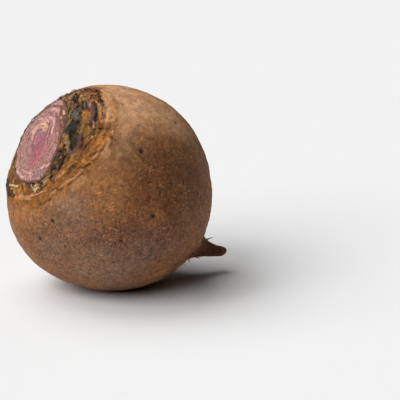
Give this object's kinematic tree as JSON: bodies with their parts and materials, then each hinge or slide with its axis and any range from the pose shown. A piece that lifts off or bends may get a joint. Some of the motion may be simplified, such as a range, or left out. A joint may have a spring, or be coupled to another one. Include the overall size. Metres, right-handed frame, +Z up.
{
  "type": "beetroot",
  "caption": "Whole raw globe beetroot with its leaves cut off: round brown corky root, ringed cut face at the crown, ring of old leaf-stalk stumps and a short thin tail, lying on its side.",
  "frame": {"origin": "middle of the object's bounding box in plan, on the surface that the root lies on", "axes": "+X from the crown end towards the tail, level; +Z up; +Y to the left of +X. The root's own axis lies in the XZ plane, with the crown end tilted 38 degrees above the surface at -X"},
  "size_m": [0.098, 0.0862, 0.0881],
  "materials": {
    "skin": "matt, corky, rough",
    "cut_flesh": "matt, dried cut flesh with growth rings",
    "dry_stalk": "matt, dry and fibrous"
  },
  "bodies": {
    "root": {"beetroot": "skin"}
  },
  "joints": []
}
